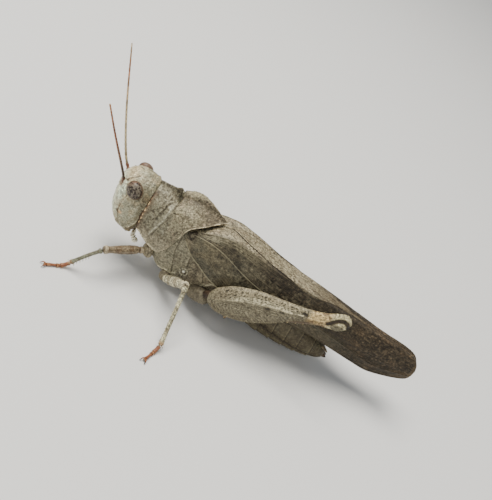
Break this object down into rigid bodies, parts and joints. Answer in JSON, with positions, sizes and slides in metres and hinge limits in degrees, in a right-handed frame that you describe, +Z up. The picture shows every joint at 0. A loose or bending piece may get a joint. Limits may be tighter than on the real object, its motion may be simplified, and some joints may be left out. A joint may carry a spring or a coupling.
{
  "type": "locust",
  "caption": "Life-size locust, a female band-winged grasshopper, resting on its feet with folded mottled wings, a crested collar shield, long feelers and large hind legs.",
  "frame": {"origin": "middle of the whole model's box, on the floor that the feet stand on", "axes": "+X from the face to the wing tips, +Y to the animal's right, +Z up"},
  "size_m": [0.058, 0.0334, 0.0261],
  "materials": {
    "head_cuticle": "satin, finely mottled greenish grey-beige",
    "eye_cornea": "smooth, speckled purple-brown",
    "antenna_cuticle": "satin, ringed red-brown and cream",
    "mouth_cuticle": "satin beige with darker edges",
    "palp_cuticle": "satin pale brown",
    "pronotum_cuticle": "matt, granular grey-brown with dark dots and a pale rim",
    "thorax_cuticle": "matt olive-grey plates with sutures",
    "abdomen_cuticle": "satin olive-grey-brown rings",
    "valve_cuticle": "dark brown, polished tips",
    "tegmen_membrane": "leathery, grey-brown, speckled dark, with raised veins",
    "hindwing_membrane": "dark folded membrane",
    "coxa_cuticle": "matt grey-brown",
    "fore_femur_cuticle": "satin red-brown",
    "mid_femur_cuticle": "satin pale beige, speckled",
    "hind_femur_cuticle": "matt beige and brown with a herringbone of ridges",
    "tibia_cuticle": "satin pale beige, speckled",
    "hind_tibia_cuticle": "satin straw with dark-tipped spines",
    "tarsus_cuticle": "satin orange-brown with dark claws"
  },
  "bodies": {
    "root": {"head": "head_cuticle", "eye_left": "eye_cornea", "antenna_left": "antenna_cuticle", "mandible_left": "mouth_cuticle", "palp_left": "palp_cuticle", "eye_right": "eye_cornea", "antenna_right": "antenna_cuticle", "mandible_right": "mouth_cuticle", "palp_right": "palp_cuticle", "labrum": "mouth_cuticle", "labium": "mouth_cuticle", "pronotum": "pronotum_cuticle", "thorax": "thorax_cuticle", "abdomen": "abdomen_cuticle", "ovipositor": "valve_cuticle", "cercus_left": "abdomen_cuticle", "cercus_right": "abdomen_cuticle", "tegmen_left": "tegmen_membrane", "tegmen_right": "tegmen_membrane", "hindwing_left": "hindwing_membrane", "hindwing_right": "hindwing_membrane", "coxa_fore_left": "coxa_cuticle", "femur_fore_left": "fore_femur_cuticle", "tibia_fore_left": "tibia_cuticle", "tarsus_fore_left": "tarsus_cuticle", "coxa_fore_right": "coxa_cuticle", "femur_fore_right": "fore_femur_cuticle", "tibia_fore_right": "tibia_cuticle", "tarsus_fore_right": "tarsus_cuticle", "coxa_mid_left": "coxa_cuticle", "femur_mid_left": "mid_femur_cuticle", "tibia_mid_left": "tibia_cuticle", "tarsus_mid_left": "tarsus_cuticle", "coxa_mid_right": "coxa_cuticle", "femur_mid_right": "mid_femur_cuticle", "tibia_mid_right": "tibia_cuticle", "tarsus_mid_right": "tarsus_cuticle", "coxa_hind_left": "coxa_cuticle", "femur_hind_left": "hind_femur_cuticle", "tibia_hind_left": "hind_tibia_cuticle", "tarsus_hind_left": "tarsus_cuticle", "coxa_hind_right": "coxa_cuticle", "femur_hind_right": "hind_femur_cuticle", "tibia_hind_right": "hind_tibia_cuticle", "tarsus_hind_right": "tarsus_cuticle"}
  },
  "joints": []
}
